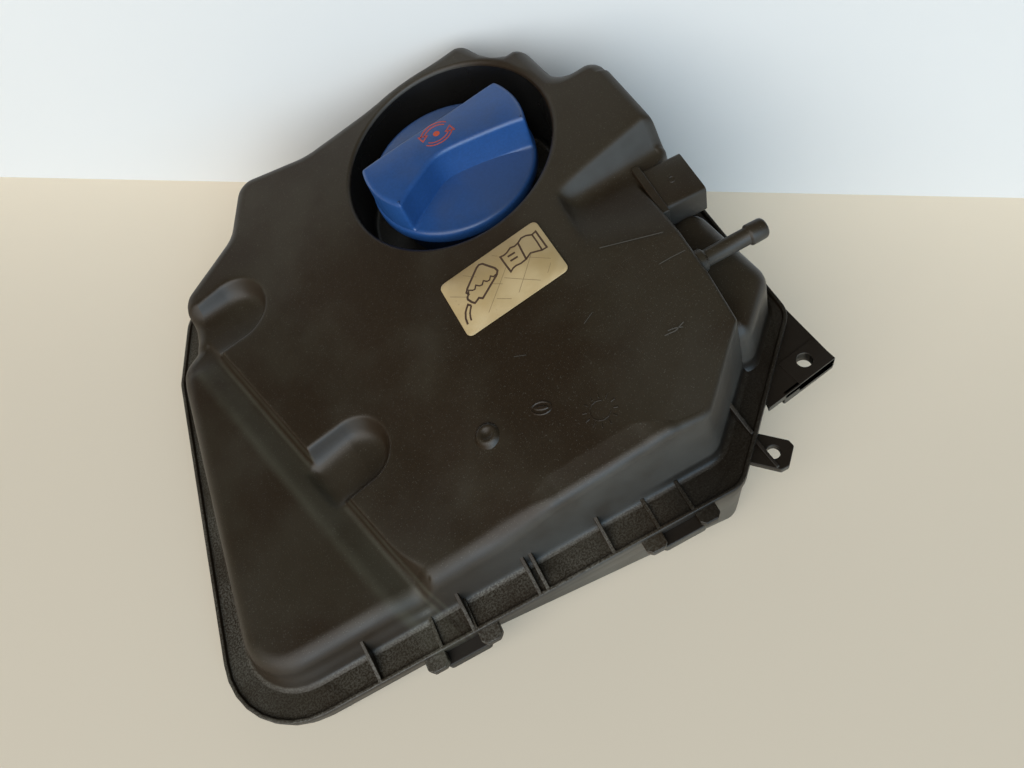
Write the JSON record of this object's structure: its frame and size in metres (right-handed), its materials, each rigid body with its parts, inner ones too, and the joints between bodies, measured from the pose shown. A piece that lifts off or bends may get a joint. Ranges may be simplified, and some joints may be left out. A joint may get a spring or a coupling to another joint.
{
  "type": "coolant expansion tank",
  "caption": "Flat wedge-shaped coolant expansion tank of two welded plastic shells, with a blue screw cap in a round well, a level sensor socket, a vent nipple and fixing tabs.",
  "frame": {"origin": "centre of the filler neck's mouth", "axes": "+Z out of the filler neck, +X towards the sensor socket, +Y away from the long side with the two clips"},
  "size_m": [0.2488, 0.2543, 0.0997],
  "materials": {
    "tank_plastic": "matte",
    "lower_plastic": "matte",
    "cap_plastic": "satin",
    "valve_plastic": "satin",
    "seal_rubber": "matte",
    "spring_steel": "satin",
    "valve_brass": "satin",
    "pin_metal": "polished",
    "label_film": "matte"
  },
  "bodies": {
    "tank": {"upper_shell": "tank_plastic", "lower_shell": "lower_plastic", "level_pin_long": "pin_metal", "level_pin_short": "pin_metal", "label": "label_film"},
    "cap_insert": {"valve_body": "valve_plastic", "neck_gasket": "seal_rubber", "valve_body_o_ring": "seal_rubber", "spring_retainer": "valve_plastic"},
    "cap": {"cap_handle": "cap_plastic"},
    "pressure_valve": {"pressure_plate": "valve_brass", "pressure_seal": "seal_rubber", "pressure_spring": "spring_steel"},
    "vacuum_valve": {"vacuum_stem": "valve_brass", "vacuum_seal": "seal_rubber", "spring_keeper": "spring_steel", "vacuum_spring": "spring_steel"}
  },
  "joints": [
    {"name": "cap_lift", "type": "slide", "parent": "tank", "child": "cap_insert", "axis": [0, 0, 1], "range_m": [0, 0.0121]},
    {"name": "cap_turn", "type": "hinge", "parent": "cap_insert", "child": "cap", "pos_m": [0, 0, 0], "axis": [0, 0, 1], "range_deg": [0, 1080]},
    {"name": "pressure_valve_lift", "type": "slide", "parent": "cap_insert", "child": "pressure_valve", "axis": [0, 0, 1], "range_m": [0, 0.002], "stiffness_N_per_m": 1500, "springref_m": -0.01, "deforming": ["pressure_spring"]},
    {"name": "vacuum_valve_drop", "type": "slide", "parent": "pressure_valve", "child": "vacuum_valve", "axis": [0, 0, -1], "range_m": [0, 0.0015], "stiffness_N_per_m": 100, "springref_m": -0.003, "deforming": ["vacuum_spring"]}
  ],
  "couplings": [
    {"joint": "cap_lift", "follows": "cap_turn", "m_per_rad": 0.00063662}
  ]
}
